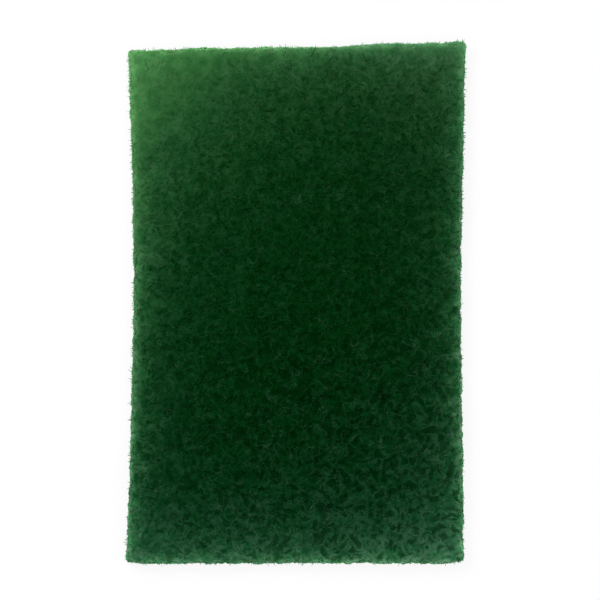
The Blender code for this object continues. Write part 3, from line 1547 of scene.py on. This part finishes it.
@dataclass(frozen=True)
class Studio:
    """White table top, soft light from the upper left, and a camera straight above.

    Attributes:
        frame_width: Width that the square picture shows at the pad's upper face.
        camera_height: How high the camera hangs over that face.
        view_shift: How far right of and above the pad's middle the camera looks.
        sky: Strength of the even light from all round.
        lamps: The soft lamps.
        floor_size: Length of the table top's side.
        floor_white: How much of the table top shows plain white, near the pad and far from it. It softens
            the shadow near the pad.
        near_and_far: How far from the pad's middle those two places are.
    """

    frame_width: float = 0.270
    camera_height: float = 1.60
    view_shift: Span = (0.0018, 0.0012)
    sky: float = 0.70
    lamps: tuple[SoftLamp, ...] = (
        SoftLamp("key lamp", (-0.55, 0.52, 0.80), 0.45, 6.0),
        SoftLamp("fill lamp", (0.50, -0.35, 0.90), 0.60, 1.8),
    )
    floor_size: float = 6.0
    floor_white: Span = (0.86, 1.0)
    near_and_far: Span = (0.20, 0.60)

    def build(self, upper_face: float) -> None:
        """Sets up the floor, lights and camera.

        Args:
            upper_face: Height of the pad's upper face.
        """
        self._floor()
        self._sky()
        for lamp in self.lamps:
            lamp.build()
        lens = bpy.data.cameras.new("overhead camera")
        lens.angle = 2.0 * math.atan(self.frame_width / 2 / self.camera_height)
        lens.clip_end = 20.0
        camera = new_object("overhead camera", lens)
        camera.location = (*self.view_shift, upper_face + self.camera_height)
        bpy.context.scene.camera = camera
        bpy.context.scene.view_settings.view_transform = "Standard"

    def _seen_directly(self, sheet: NodeSheet) -> NodeSocket:
        """Tells what the camera sees, directly or in glossy or clear surfaces, from other light.

        Args:
            sheet: The nodes of the floor or the sky.

        Returns:
            A socket that gives 1 for what it sees.
        """
        path = sheet.add("ShaderNodeLightPath").outputs
        direct = sheet.math("MAXIMUM", path["Is Camera Ray"], path["Is Glossy Ray"])
        return sheet.math("MAXIMUM", direct, path["Is Transmission Ray"])

    def _floor(self) -> None:
        """Lays the table top, which keeps a soft shadow."""
        shape = bmesh.new()
        bmesh.ops.create_grid(shape, x_segments=1, y_segments=1, size=self.floor_size / 2)
        mesh = bpy.data.meshes.new("table top")
        shape.to_mesh(mesh)
        shape.free()
        floor = new_object("table top", mesh)
        matt = {"Base Color": (0.90, 0.90, 0.90), "Roughness": 0.9, "Specular IOR Level": 0.1}
        material, sheet, shader = plain_material("white table top", matt)
        white = sheet.add("ShaderNodeEmission", {"Color": (1.0, 1.0, 1.0), "Strength": 1.0})
        away = sheet.vector("LENGTH", {0: sheet.object_place()}).node.outputs["Value"]
        share = sheet.product(
            self._seen_directly(sheet), sheet.spread(away, self.near_and_far, self.floor_white)
        )
        both = sheet.add("ShaderNodeMixShader", {0: share, 1: shader.outputs[0], 2: white.outputs[0]})
        sheet.feed(sheet.tree.nodes["Material Output"], {"Surface": both.outputs[0]})
        mesh.materials.append(material)

    def _sky(self) -> None:
        """Lights the scene evenly from all round, and shows white past the table top."""
        world = bpy.data.worlds.new("white room")
        world.use_nodes = True
        bpy.context.scene.world = world
        sheet = NodeSheet(world.node_tree)
        strength = sheet.spread(self._seen_directly(sheet), (0.0, 1.0), (self.sky, 1.0))
        sheet.feed(sheet.tree.nodes["Background"], {"Color": (1.0, 1.0, 1.0), "Strength": strength})


@dataclass
class ScouringPad:
    """The whole pad: its matted web and the fibres over it.

    Attributes:
        web: The matted web.
        corner: Where the web is coarser.
        pits: Where it is open.
        glow: Where the glow of light is painted, and how strong it is.
        layers: The fibres over its faces and wall, in the order in which they are laid.
        fill: How full the pad is of fibre, from slack to tight; not used.
    """

    web: MattedWeb
    corner: LooseCorner
    pits: OpenPits
    glow: PaintedGlow
    layers: tuple[FibreTangle | LooseEnds, ...]
    fill: float = 0.9

    def build(self) -> list[Object]:
        """Builds every piece, dresses it and joins it to the frame.

        Returns:
            The pieces.
        """
        low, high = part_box(NODE)
        outline = CutOutline.read(self._solid_tree(), low, high)
        sheet = SheetLayout(outline, self.corner, self.pits, self.glow)
        greens = WebGreens()
        patterns = WebPatterns()
        fibre_material = FibreFinish(greens).build(patterns)
        web_material = WebFinish(greens).build(patterns)

        web = self.web.build(sheet)
        web.data.materials.append(web_material)
        pieces = [web]
        skin = WebSkin(web)
        for layer in self.layers:
            piece = layer.build(skin, sheet)
            piece.data.materials.append(fibre_material)
            pieces.append(piece)
        for piece in pieces:
            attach(piece, BODY)
        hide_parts(NODE)
        return pieces

    @staticmethod
    def _solid_tree() -> BVHTree:
        """Makes the CAD solid ready for rays to meet.

        Returns:
            The solid's tree.
        """
        solid = bmesh.new()
        solid.from_mesh(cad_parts[NODE].data)
        tree = BVHTree.FromBMesh(solid)
        solid.free()
        return tree


STRANDS = {
    "length": (0.0060, 0.0120),
    "radius": (0.00040, 0.00058),
    "curl": 2.2,
    "crimp": 0.75,
    "crimp_length": 0.0060,
    "rise": (-0.00016, 0.00006),
    "scatter": 2.0,
    "tube": FibreTube(rings=9),
}

LOOPS = {
    "length": (0.0030, 0.0065),
    "rise": (-0.00020, 0.00060),
    "matting": 0.0,
}


def main() -> None:
    """Builds the pad and the studio."""
    logging.basicConfig(level=logging.INFO, format="%(message)s")
    pad = ScouringPad(
        web=MattedWeb(),
        corner=LooseCorner(),
        pits=OpenPits(),
        glow=PaintedGlow(),
        layers=(
            FibreTangle("upper_fibres_a", Region.UPPER, count=5000, seed=11),
            FibreTangle("upper_fibres_b", Region.UPPER, count=5000, seed=12),
            FibreTangle("lower_fibres", Region.LOWER, count=4800, seed=13),
            FibreTangle("upper_strands", Region.UPPER, count=1100, seed=16, **STRANDS),
            FibreTangle("lower_strands", Region.LOWER, count=500, seed=17, **STRANDS),
            FibreTangle("wall_fibres", Region.WALL, count=3200, seed=14, **LOOPS),
            LooseEnds("wall_ends", Region.WALL, count=6000, seed=15),
        ),
    )
    for piece in pad.build():
        LOG.info("%s: %d faces", piece.name, len(piece.data.polygons))
    Studio().build(upper_face=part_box(NODE)[1][2])


if __name__ == "__main__":
    main()
